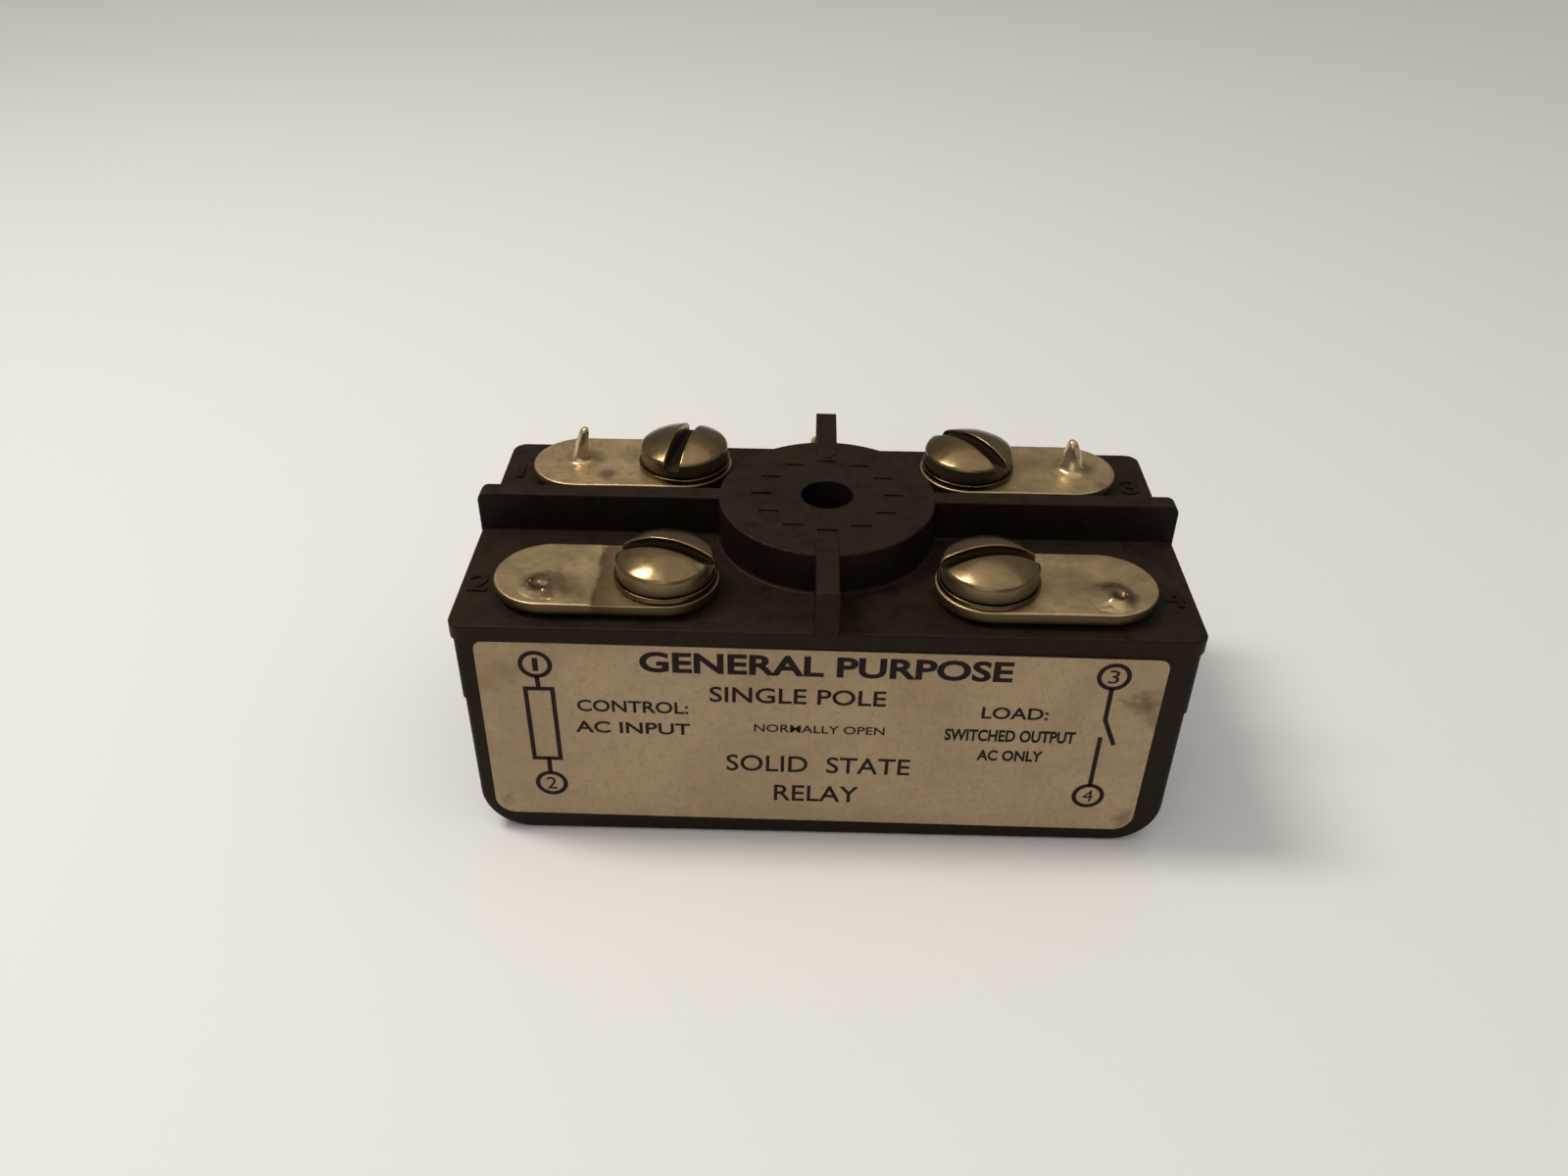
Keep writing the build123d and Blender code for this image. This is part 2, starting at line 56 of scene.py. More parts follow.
class Paint:
    """One node material, with short names for the nodes that the materials below use.

    Texture coordinates are the object's own, in millimetres.
    """

    def __init__(self, name):
        self.material = bpy.data.materials.new(name)
        self.material.use_nodes = True
        self.tree = self.material.node_tree
        self.shader = self.tree.nodes["Principled BSDF"]
        coordinates = self.tree.nodes.new("ShaderNodeTexCoord")
        scaled = self.tree.nodes.new("ShaderNodeVectorMath")
        scaled.operation = "SCALE"
        scaled.inputs["Scale"].default_value = 1 / MM
        self.tree.links.new(coordinates.outputs["Object"], scaled.inputs[0])
        self.place = scaled.outputs["Vector"]
        self.normal = None

    def set(self, socket, value):
        """Link or store a value on an input."""
        if isinstance(value, bpy.types.NodeSocket):
            self.tree.links.new(value, socket)
        elif isinstance(value, (tuple, list)) and len(value) == 3 and socket.type == "RGBA":
            socket.default_value = (*value, 1.0)
        else:
            socket.default_value = value

    def input(self, name, value):
        self.set(self.shader.inputs[name], value)

    def stretched(self, scale, turn=(0, 0, 0)):
        node = self.tree.nodes.new("ShaderNodeMapping")
        self.tree.links.new(self.place, node.inputs["Vector"])
        node.inputs["Scale"].default_value = scale
        node.inputs["Rotation"].default_value = turn
        return node.outputs["Vector"]

    def noise(self, scale, detail=4.0, rough=0.55, warp=0.0, vector=None):
        node = self.tree.nodes.new("ShaderNodeTexNoise")
        self.tree.links.new(vector or self.place, node.inputs["Vector"])
        node.inputs["Scale"].default_value = scale
        node.inputs["Detail"].default_value = detail
        node.inputs["Roughness"].default_value = rough
        node.inputs["Distortion"].default_value = warp
        return node.outputs["Fac"]

    def cells(self, scale, feature="F1", vector=None):
        node = self.tree.nodes.new("ShaderNodeTexVoronoi")
        node.feature = feature
        self.tree.links.new(vector or self.place, node.inputs["Vector"])
        node.inputs["Scale"].default_value = scale
        return node.outputs["Distance"]

    def math(self, kind, a, b=0.0, c=0.0, clamp=False):
        node = self.tree.nodes.new("ShaderNodeMath")
        node.operation = kind
        node.use_clamp = clamp
        for socket, value in zip(node.inputs, (a, b, c)):
            self.set(socket, value)
        return node.outputs["Value"]

    def span(self, value, low, high, to_low=0.0, to_high=1.0):
        """Map low..high to to_low..to_high, smoothly and clamped."""
        node = self.tree.nodes.new("ShaderNodeMapRange")
        node.interpolation_type = "SMOOTHSTEP"
        self.set(node.inputs["Value"], value)
        for name, number in (("From Min", low), ("From Max", high), ("To Min", to_low), ("To Max", to_high)):
            node.inputs[name].default_value = number
        return node.outputs["Result"]

    def mix(self, share, a, b):
        node = self.tree.nodes.new("ShaderNodeMix")
        node.data_type = "RGBA"
        self.set(node.inputs["Factor"], share)
        self.set(node.inputs["A"], a)
        self.set(node.inputs["B"], b)
        return node.outputs["Result"]

    def axis(self, name):
        node = self.tree.nodes.new("ShaderNodeSeparateXYZ")
        self.tree.links.new(self.place, node.inputs["Vector"])
        return node.outputs[name]

    def facing(self, name):
        """One part of the surface normal, from -1 to 1."""
        geometry = self.tree.nodes.new("ShaderNodeNewGeometry")
        node = self.tree.nodes.new("ShaderNodeSeparateXYZ")
        self.tree.links.new(geometry.outputs["Normal"], node.inputs["Vector"])
        return node.outputs[name]

    def away(self, x, y):
        """Distance from the vertical through (x, y)."""
        dx = self.math("SUBTRACT", self.axis("X"), x)
        dy = self.math("SUBTRACT", self.axis("Y"), y)
        squares = self.math("ADD", self.math("MULTIPLY", dx, dx), self.math("MULTIPLY", dy, dy))
        return self.math("SQRT", squares)

    def near(self, x, y, radius, softness, ragged=0.0):
        """1 inside a disc round (x, y) seen from above, falling to 0 over softness."""
        distance = self.away(x, y)
        if ragged:
            wander = self.math("SUBTRACT", self.noise(0.9, 3), 0.5)
            distance = self.math("ADD", distance, self.math("MULTIPLY", wander, ragged))
        return self.span(distance, radius, radius + softness, 1.0, 0.0)

    def bump(self, height, strength, distance):
        node = self.tree.nodes.new("ShaderNodeBump")
        node.inputs["Strength"].default_value = strength
        node.inputs["Distance"].default_value = distance * MM
        self.set(node.inputs["Height"], height)
        if self.normal is not None:
            self.tree.links.new(self.normal, node.inputs["Normal"])
        self.normal = node.outputs["Normal"]

    def done(self, colour, rough, metal=0.0, **inputs):
        self.input("Base Color", colour)
        self.input("Roughness", rough)
        self.input("Metallic", metal)
        for name, value in inputs.items():
            self.input(name.replace("_", " "), value)
        if self.normal is not None:
            self.tree.links.new(self.normal, self.shader.inputs["Normal"])
        return self.material


def case_plastic(name, most_bloom_and_top_light=1.0):
    """Old black phenolic moulding, bloomed brown and painted lighter on what faces up, with fine grain, scuffs and
    dust.
    """
    p = Paint(name)
    blotches = p.noise(0.16, 5, 0.6, 0.4)
    mottle = p.noise(0.7, 4, 0.65, 0.3)
    tint = p.noise(2.4, 4, 0.7, 0.6)
    grain = p.noise(9.0, 3, 0.6)
    scuffs = p.noise(1.0, 6, 0.7, 1.2, p.stretched((0.35, 2.4, 1.2), (0, 0, 0.5)))
    specks = p.span(p.cells(1.1), 0.035, 0.075, 1.0, 0.0)
    upward = p.span(p.facing("Z"), 0.4, 0.95)
    colour = p.mix(p.span(blotches, 0.3, 0.7), (0.0040, 0.0022, 0.0028), (0.0090, 0.0055, 0.0050))
    # Painted light: faces that point up turn a lighter brown, partly bloomed plastic and partly a painted sheen from
    # above.
    bloom_and_top_light = p.math("MULTIPLY", upward, p.span(blotches, 0.3, 0.7, 0.45 * most_bloom_and_top_light, most_bloom_and_top_light))
    colour = p.mix(bloom_and_top_light, colour, (0.0175, 0.0120, 0.0070))
    colour = p.mix(p.math("MULTIPLY", p.span(mottle, 0.46, 0.66), 0.7), colour, (0.0040, 0.0024, 0.0018))
    colour = p.mix(p.math("MULTIPLY", p.span(tint, 0.5, 0.7), 0.4), colour, (0.027, 0.019, 0.010))
    colour = p.mix(p.math("MULTIPLY", p.span(scuffs, 0.62, 0.78), 0.35), colour, (0.045, 0.033, 0.023))
    dust = p.math("MULTIPLY", specks, p.math("MULTIPLY", upward, p.span(p.noise(0.5, 2), 0.5, 0.62)))
    colour = p.mix(p.math("MULTIPLY", dust, 0.5), colour, (0.13, 0.105, 0.075))
    rough = p.span(p.math("ADD", p.math("MULTIPLY", grain, 0.3), p.math("MULTIPLY", blotches, 0.7)), 0.3, 0.7, 0.5, 0.68)
    p.bump(p.noise(0.6, 3, 0.5), 0.3, 0.06)
    p.bump(mottle, 0.2, 0.02)
    p.bump(grain, 0.4, 0.014)
    p.bump(scuffs, 0.15, 0.01)
    return p.done(colour, rough, 0.0, Specular_IOR_Level=0.22, Specular_Tint=(1.0, 0.70, 0.46, 1.0))


def label_paper():
    """Aged off-white label: vertical fibres, stains, rubbed and browned corners."""
    p = Paint("label_paper")
    fibres = p.noise(1.0, 6, 0.65, 0.3, p.stretched((7.0, 1.0, 0.55)))
    fine = p.noise(1.0, 4, 0.7, 0.0, p.stretched((22.0, 1.0, 2.6)))
    cloud = p.noise(0.11, 5, 0.6, 0.6)
    tint = p.noise(0.45, 4, 0.6, 0.5)
    pits = p.noise(3.2, 4, 0.7, 0.6)
    colour = p.mix(p.span(cloud, 0.3, 0.7), (0.345, 0.250, 0.142), (0.455, 0.345, 0.205))
    colour = p.mix(p.math("MULTIPLY", p.span(tint, 0.45, 0.7), 0.35), colour, (0.49, 0.31, 0.20))
    colour = p.mix(p.math("MULTIPLY", p.span(fibres, 0.42, 0.72), 0.28), colour, (0.27, 0.19, 0.105))
    colour = p.mix(p.math("MULTIPLY", p.span(fine, 0.5, 0.78), 0.3), colour, (0.56, 0.44, 0.28))
    colour = p.mix(p.math("MULTIPLY", p.span(p.noise(1.9, 4, 0.7, 0.4), 0.46, 0.68), 0.35), colour, (0.25, 0.175, 0.10))
    colour = p.mix(p.math("MULTIPLY", p.span(pits, 0.58, 0.72), 0.5), colour, (0.20, 0.135, 0.075))
    x, z = p.axis("X"), p.axis("Z")
    ragged = p.math("MULTIPLY", p.math("SUBTRACT", p.noise(0.8, 4), 0.5), 3.2)
    for mark_x, mark_z, reach, strength, tone in (
        (-26.2, 16.3, 1.9, 0.7, (0.30, 0.19, 0.08)),
        (-24.4, 17.2, 1.5, 0.55, (0.22, 0.14, 0.075)),
        (24.9, 15.3, 1.6, 0.85, (0.13, 0.075, 0.035)),
        (23.6, 15.4, 1.0, 0.6, (0.18, 0.115, 0.05)),
        (25.8, 13.4, 1.1, 0.6, (0.21, 0.13, 0.06)),
        (25.2, 2.7, 1.5, 0.6, (0.16, 0.11, 0.06)),
        (-26.1, 3.2, 0.9, 0.55, (0.19, 0.13, 0.07)),
    ):
        dx = p.math("SUBTRACT", x, mark_x)
        dz = p.math("SUBTRACT", z, mark_z)
        squares = p.math("ADD", p.math("MULTIPLY", dx, dx), p.math("MULTIPLY", dz, dz))
        distance = p.math("ADD", p.math("SQRT", squares), ragged)
        share = p.math("MULTIPLY", p.span(distance, 0.2, reach, 1.0, 0.0), strength)
        colour = p.mix(share, colour, tone)
    rough = p.span(cloud, 0.3, 0.7, 0.55, 0.75)
    p.bump(p.noise(0.35, 2), 0.3, 0.04)
    p.bump(fibres, 0.35, 0.015)
    p.bump(pits, 0.2, 0.01)
    return p.done(colour, rough, 0.0, Specular_IOR_Level=0.35)


def print_ink():
    """Dark purplish-brown print, thin in places."""
    p = Paint("print_ink")
    worn = p.noise(2.2, 5, 0.7)
    colour = p.mix(p.span(worn, 0.52, 0.8), (0.0145, 0.0062, 0.0078), (0.052, 0.031, 0.026))
    p.bump(p.noise(6.0, 3), 0.2, 0.005)
    return p.done(colour, p.span(worn, 0.3, 0.7, 0.6, 0.75), 0.0, Specular_IOR_Level=0.15)


def tinned_metal(name, stains_and_shade, lead, lift=1.0, bare_from=None, spike_from=None):
    """Dull hand-tinned metal with soft lumps, flux-stained spots and spots of painted shade at (x, y, radius,
    strength).

    It is shinier round the lead, at (x, y). lift makes the tin brighter. Beyond the X of bare_from the tin has run out
    and the metal is browned, and above the Z of spike_from the solder spike is painted lighter: a painted highlight.
    """
    p = Paint(name)
    cloud = p.noise(0.3, 5, 0.6, 0.5)
    mottle = p.noise(1.3, 4, 0.65, 0.4)
    fine = p.noise(5.0, 4, 0.7)
    light = tuple(lift * part for part in (0.60, 0.45, 0.245))
    colour = p.mix(p.span(cloud, 0.3, 0.7), tuple(0.78 * part for part in light), light)
    colour = p.mix(p.math("MULTIPLY", p.span(mottle, 0.42, 0.7), 0.5), colour, (0.40, 0.26, 0.145))
    colour = p.mix(p.math("MULTIPLY", p.span(fine, 0.48, 0.72), 0.32), colour, (0.27, 0.19, 0.11))
    dull = p.math("MULTIPLY", p.span(fine, 0.4, 0.8), 0.3)
    if bare_from is not None:
        wander = p.math("MULTIPLY", p.math("SUBTRACT", p.noise(0.5, 3), 0.5), 1.2)
        along = p.math("ADD", p.math("SUBTRACT", p.axis("X"), bare_from), wander)
        bare = p.math("MULTIPLY", p.span(along, -0.15, 0.15), p.span(along, 0.3, 2.6, 0.9, 0.45))
        colour = p.mix(bare, colour, (0.165, 0.098, 0.045))
        dull = p.math("MAXIMUM", dull, p.math("MULTIPLY", bare, 0.5))
    # Flux-stained spots and the spot of painted shade, mixed in as one dark brown
    for x, y, radius, strength in stains_and_shade:
        share = p.math("MULTIPLY", p.near(x, y, radius * 0.35, radius, 1.2), strength)
        colour = p.mix(share, colour, (0.105, 0.060, 0.030))
        dull = p.math("MAXIMUM", dull, p.math("MULTIPLY", share, 0.5))
    metal = 0.9
    if spike_from is None:
        # Painted shade down the sides of the strap: whatever faces sideways is darkened
        colour = p.mix(p.span(p.facing("Z"), 0.45, 0.95, 0.88, 0.0), colour, (0.060, 0.036, 0.018))
    else:
        # Painted highlight: the solder spike is painted lighter and a little less metallic above the plate.
        spike_highlight = p.span(p.axis("Z"), spike_from + 0.25, spike_from + 0.9)
        colour = p.mix(spike_highlight, colour, (0.66, 0.53, 0.345))
        metal = p.math("SUBTRACT", 0.9, p.math("MULTIPLY", spike_highlight, 0.1))
    p.bump(p.noise(0.55, 2), 0.5, 0.05)
    p.bump(fine, 0.2, 0.008)
    shiny = p.near(*lead, 1.0, 1.6, 0.8)
    roughness = p.math("ADD", p.math("MULTIPLY", dull, 0.18), p.span(cloud, 0.3, 0.7, 0.36, 0.46))
    roughness = p.math("SUBTRACT", roughness, p.math("MULTIPLY", shiny, 0.15))
    return p.done(colour, roughness, metal)


def plated_steel(name, middle=None, shade=1.0):
    """Tarnished nickel plate, satin, darker in a screw's slot from old dirt with painted shade, and with painted shade
    down the head's side to its underside.

    middle is the place of the head's underside on the screw's axis, in metres, and shade scales
    the metal's brightness.
    """
    p = Paint(name)
    cloud = p.noise(0.4, 4, 0.6, 0.4)
    fine = p.noise(7.0, 3, 0.6)
    scratches = p.noise(1.0, 3, 0.6, 0.0, p.stretched((1.2, 12.0, 2.0), (0, 0, 0.35)))
    light = tuple(shade * part for part in (0.29, 0.205, 0.104))
    colour = p.mix(p.span(cloud, 0.3, 0.7), tuple(0.7 * part for part in light), light)
    colour = p.mix(p.math("MULTIPLY", p.span(fine, 0.5, 0.8), 0.25), colour, tuple(0.45 * part for part in light))
    roughness = p.span(p.math("ADD", p.math("MULTIPLY", fine, 0.4), p.math("MULTIPLY", cloud, 0.6)), 0.3, 0.7, 0.19, 0.29)
    metal, shine = 1.0, 0.5
    if middle is not None:
        x, y, z = (number / MM for number in middle)
        radius = p.away(x, y)
        height = p.math("SUBTRACT", p.axis("Z"), z)
        # Depth below the dome, from its sphere
        across = p.math("MINIMUM", radius, HEAD_RADIUS)
        squares = p.math("SUBTRACT", HEAD_SPHERE ** 2, p.math("MULTIPLY", across, across))
        dome = p.math("ADD", p.math("SQRT", squares), HEAD_HEIGHT - HEAD_SPHERE)
        depth = p.math("SUBTRACT", dome, height)
        inside = p.span(radius, HEAD_RADIUS - 0.12, HEAD_RADIUS - 0.02, 1.0, 0.0)
        # Old dirt with painted shade: darker with depth below the dome, in the slot; the same mask darkens the shank
        # below the head.
        grime_and_shade = p.math("MULTIPLY", p.span(depth, 0.22, 0.8, 0.0, 0.92), inside)
        # Painted shade: the head's side darkens towards its underside.
        side_shade = p.span(height, 0.1, 1.25, 0.8, 0.3)
        side_shade = p.math("MULTIPLY", side_shade, p.math("SUBTRACT", 1.0, inside))
        grime_and_shade = p.math("MAXIMUM", grime_and_shade, side_shade)
        colour = p.mix(grime_and_shade, colour, (0.030, 0.019, 0.013))
        roughness = p.math("ADD", roughness, p.math("MULTIPLY", grime_and_shade, 0.3))
        metal = p.math("SUBTRACT", 1.0, p.math("MULTIPLY", grime_and_shade, 0.6))
        shine = p.math("SUBTRACT", 0.5, p.math("MULTIPLY", grime_and_shade, 0.42))
    p.bump(p.noise(0.5, 2), 0.4, 0.03)
    p.bump(scratches, 0.1, 0.003)
    p.bump(fine, 0.12, 0.003)
    return p.done(colour, roughness, metal, Specular_IOR_Level=shine)


def inner_material(name, light, dark, rough, metal=0.0, scale=1.2):
    """Plainer finish for what the case hides, still with grain and colour variation."""
    p = Paint(name)
    cloud = p.noise(scale, 4, 0.6)
    fine = p.noise(scale * 8, 3, 0.6)
    colour = p.mix(p.span(cloud, 0.35, 0.65), dark, light)
    p.bump(fine, 0.25, 0.01)
    return p.done(colour, p.span(fine, 0.3, 0.7, rough * 0.8, rough * 1.15), metal)


def paint(obj, material):
    obj.data.materials.clear()
    obj.data.materials.append(material)


# ---- Mesh helpers ----------------------------------------------------------------


def new_piece(name, mesh, material, body=BODY):
    obj = bpy.data.objects.new(name, mesh)
    bpy.context.scene.collection.objects.link(obj)
    paint(obj, material)
    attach(obj, body)
    return obj


def smooth(mesh, angle=35):
    for polygon in mesh.polygons:
        polygon.use_smooth = True
    mesh.set_sharp_from_angle(angle=radians(angle))


def lathe(bm, profile, centre, segments=96):
    """Closed surface of revolution about the vertical through centre.

    The profile runs from the axis at one end to the axis at the other.
    """
    rings = []
    for radius, height in profile:
        if radius < 1e-9:
            rings.append([bm.verts.new((centre[0], centre[1], height))])
            continue
        ring = []
        for step in range(segments):
            angle = tau * step / segments
            ring.append(bm.verts.new((centre[0] + radius * cos(angle), centre[1] + radius * sin(angle), height)))
        rings.append(ring)
    for lower, upper in zip(rings, rings[1:]):
        for step in range(segments):
            after = (step + 1) % segments
            if len(lower) == 1:
                bm.faces.new((lower[0], upper[after], upper[step]))
            elif len(upper) == 1:
                bm.faces.new((lower[step], lower[after], upper[0]))
            else:
                bm.faces.new((lower[step], lower[after], upper[after], upper[step]))


def finished(bm, name):
    bmesh.ops.recalc_face_normals(bm, faces=bm.faces)
    mesh = bpy.data.meshes.new(name)
    bm.to_mesh(mesh)
    bm.free()
    return mesh


def applied(obj):
    """The object's mesh with its modifiers applied, as a new mesh."""
    graph = bpy.context.evaluated_depsgraph_get()
    mesh = bpy.data.meshes.new_from_object(obj.evaluated_get(graph), depsgraph=graph)
    old = obj.data
    bpy.data.objects.remove(obj)
    bpy.data.meshes.remove(old)
    return mesh


def centre(node):
    low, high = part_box(node)
    return (low + high) / 2


def ripple(place, scale, seed=0.0):
    """Smooth noise from about -1 to 1 at a point in metres, with features 1/scale mm wide."""
    return noise.noise(Vector(place) * (scale / MM) + Vector((seed, 1.7 * seed, -seed)))


def bridge(bm, first, second, closed=True):
    """Faces between two rows of the same number of vertices."""
    count = len(first)
    for step in range(count if closed else count - 1):
        after = (step + 1) % count
        corners = [first[step], first[after], second[after], second[step]]
        if len(set(corners)) == 4:
            bm.faces.new(corners)


def cap(bm, ring):
    """Fan that closes a ring at its middle."""
    middle = bm.verts.new(sum((vertex.co for vertex in ring), Vector()) / len(ring))
    for step, vertex in enumerate(ring):
        bm.faces.new((vertex, ring[(step + 1) % len(ring)], middle))


def welded(bm, name, weld=0.0008 * MM):
    bmesh.ops.remove_doubles(bm, verts=bm.verts, dist=weld)
    bmesh.ops.dissolve_degenerate(bm, edges=bm.edges, dist=weld)
    return finished(bm, name)


# ---- Screws ----------------------------------------------------------------------

HEAD_RADIUS = 3.8
HEAD_SIDE = 1.35
HEAD_HEIGHT = 2.5
HEAD_RISE = HEAD_HEIGHT - HEAD_SIDE
HEAD_SPHERE = (HEAD_RADIUS ** 2 + HEAD_RISE ** 2) / (2 * HEAD_RISE)
HEAD_ROLL = 0.22
SLOT_WIDTH = 1.3
SLOT_DEPTH = 1.85
SLOT_EDGE = 0.13
SLOT_CORNER = 0.12
THREAD_PITCH = 25.4 / 32
THREAD_CREST = 2.083
THREAD_ROOT = 1.65
THREAD_TAPER = 0.5
SLOT_ANGLES = {1: 78, 2: -14, 3: -48, 4: 9}

# Raised burrs and dents: along the slot, across it, height and radius
BURRS = {
    1: ((-2.55, -0.78, 0.10, 0.45), (0.5, 0.80, 0.07, 0.5), (3.2, -0.8, -0.06, 0.4)),
    2: ((3.45, -0.80, 0.16, 0.38), (-1.2, 0.78, 0.03, 0.5), (0.9, 0.78, 0.04, 0.3)),
    3: ((2.9, -0.78, 0.05, 0.5), (-3.1, 0.78, 0.05, 0.4)),
    4: ((-3.3, 0.78, 0.05, 0.3), (2.2, -0.78, 0.03, 0.4)),
}


def crown(radius):
    """Height of the head at a distance from its axis: a shallow dome that rolls over into the side."""
    height = HEAD_HEIGHT - HEAD_SPHERE + sqrt(HEAD_SPHERE ** 2 - min(radius, HEAD_RADIUS) ** 2)
    inward = min(max(radius - (HEAD_RADIUS - HEAD_ROLL), 0.0), HEAD_ROLL)
    return height - (HEAD_ROLL - sqrt(HEAD_ROLL ** 2 - inward ** 2))


def slot_rows():
    """Rows across half of the head, as (distance from the slot's middle, drop, share of the wall)."""
    half = SLOT_WIDTH / 2
    outer = 30
    start = radians(90)
    end = math.asin((half + SLOT_EDGE) / HEAD_RADIUS)
    rows = [(HEAD_RADIUS * sin(start + (end - start) * step / outer), 0.0, 0.0) for step in range(outer + 1)]
    for angle in (20, 42, 65, 90):
        turn = radians(angle)
        rows.append((half + SLOT_EDGE * (1 - sin(turn)), SLOT_EDGE * (1 - cos(turn)), 0.0))
    for step in range(1, 5):
        rows.append((half, SLOT_EDGE, step / 4))
    for angle in (30, 60, 90):
        turn = radians(angle)
        rows.append((half - SLOT_CORNER * (1 - cos(turn)), SLOT_EDGE + SLOT_CORNER * sin(turn), 1.0))
    for step in (3, 2, 1):
        rows.append(((half - SLOT_CORNER) * step / 4, SLOT_EDGE + SLOT_CORNER, 1.0))
    return rows


def head_point(along, across, drop, wall, burrs, seed):
    """Height of one point of the head above its underside, all in millimetres."""
    top = crown(hypot(along, across))
    deep = max(top - (HEAD_HEIGHT - SLOT_DEPTH), 0.0)
    rounding = SLOT_EDGE + SLOT_CORNER
    height = top - drop * min(1.0, deep / rounding) - wall * max(deep - rounding, 0.0)
    if wall < 1.0:
        for place, side, rise, radius in burrs:
            spread = ((along - place) / radius) ** 2 + ((across - side) / (0.55 * radius)) ** 2
            height += rise * math.exp(-spread)
    spot = Vector((along, across, 0)) * MM
    height += 0.010 * ripple(spot, 0.6, seed) + 0.002 * ripple(spot, 3.0, seed)
    return height


def terminal_screw(number, material):
    """Slotted head with worn edges on a real helical thread."""
    node = f"terminal_screw_{number}"
    middle = centre(node)
    head_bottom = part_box(f"screw_washer_{number}")[1].z
    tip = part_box(node)[0].z
    turn = radians(SLOT_ANGLES[number])
    burrs = BURRS[number]
    half_rows = slot_rows()
    rows = half_rows + [(0.0, SLOT_EDGE + SLOT_CORNER, 1.0)]
    rows += [(-across, drop, wall) for across, drop, wall in reversed(half_rows)]
    columns = [sin(radians(90) * (step / 32 - 1)) for step in range(65)]
    bm = bmesh.new()

    def vertex(along, across, height):
        wobble = 0.02 * ripple((along * MM, across * MM, 0), 1.1, number) if height > HEAD_SIDE else 0.0
        x = along * cos(turn) - (across + wobble) * sin(turn)
        y = along * sin(turn) + (across + wobble) * cos(turn)
        return bm.verts.new((middle.x + x * MM, middle.y + y * MM, head_bottom + height * MM))

    grid = []
    for across, drop, wall in rows:
        reach = sqrt(max(HEAD_RADIUS ** 2 - across ** 2, 0.0))
        if reach < 1e-6:
            pole = vertex(0.0, across, head_point(0.0, across, drop, wall, burrs, number))
            grid.append([pole] * len(columns))
            continue
        grid.append([
            vertex(reach * share, across, head_point(reach * share, across, drop, wall, burrs, number))
            for share in columns
        ])
    for upper, lower in zip(grid, grid[1:]):
        for step in range(len(columns) - 1):
            corners = []
            for corner in (upper[step], upper[step + 1], lower[step + 1], lower[step]):
                if corner not in corners:
                    corners.append(corner)
            if len(corners) > 2:
                bm.faces.new(corners)
    # The grid's outline, once round, then rings down the side and the thread
    outline = [row[-1] for row in grid] + [row[0] for row in reversed(grid[1:-1])]
    angles = [math.atan2(v.co.y - middle.y, v.co.x - middle.x) for v in outline]

    def ring(radius_at, height):
        return [
            bm.verts.new((
                middle.x + radius_at(angle) * cos(angle) * MM,
                middle.y + radius_at(angle) * sin(angle) * MM,
                height,
            ))
            for angle in angles
        ]

    rings = [outline]
    for inset, height in ((0.0, 0.7), (0.0, 0.45), (0.0, 0.2), (0.05, 0.06), (0.16, 0.0)):
        rings.append(ring(lambda angle, inset=inset: HEAD_RADIUS - inset, head_bottom + height * MM))
    rings.append(ring(lambda angle: (HEAD_RADIUS + THREAD_CREST) / 2, head_bottom))
    steps = int((head_bottom - tip) / MM / THREAD_PITCH * 9)
    for step in range(steps + 1):
        depth = (head_bottom - tip) / MM * step / steps
        left = (head_bottom - tip) / MM - depth
        fade = min(1.0, depth / 0.5) * min(1.0, (left + 0.15) / THREAD_TAPER)

        def threaded(angle, depth=depth, fade=fade):
            phase = (-depth / THREAD_PITCH - angle / tau) % 1.0
            crest = min(max(1.3 * (1 - abs(2 * phase - 1)) - 0.15, 0.0), 1.0)
            return THREAD_ROOT + (THREAD_CREST - THREAD_ROOT) * crest * fade - 0.3 * max(0.0, 0.3 - left)

        rings.append(ring(threaded, head_bottom - depth * MM))
    for upper, lower in zip(rings, rings[1:]):
        bridge(bm, upper, lower)
    cap(bm, rings[-1])
    mesh = welded(bm, f"screw_{number}")
    smooth(mesh, 50)
    piece = new_piece(f"slotted_screw_{number}", mesh, material, f"screw_{number}")
    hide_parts(node)
    return piece


# ---- Plates and solder -----------------------------------------------------------

PLATE_ROLL = 0.22
OUTLINE_POINTS = 220
PLATE_RINGS = 44


# Where the tin stops on a plate, in X, and how thick it is there
TIN_STEPS = {2: (-17.75, 0.11)}


def plate_surface(x, y, number):
    """Unevenness of the tinned top, in millimetres: soft waves, small lumps and the end of the tin."""
    spot = (x, y, 0)
    waves = 0.035 * ripple(spot, 0.22, 3.1 * number) + 0.018 * ripple(spot, 0.7, number)
    if number in TIN_STEPS:
        end, thickness = TIN_STEPS[number]
        end += 0.12 * ripple(spot, 0.6, 7.7)
        waves -= thickness * min(max((x / MM - end) / 0.3 + 0.5, 0.0), 1.0)
    return waves + 0.006 * ripple(spot, 2.2, 5.3 * number) - 0.03


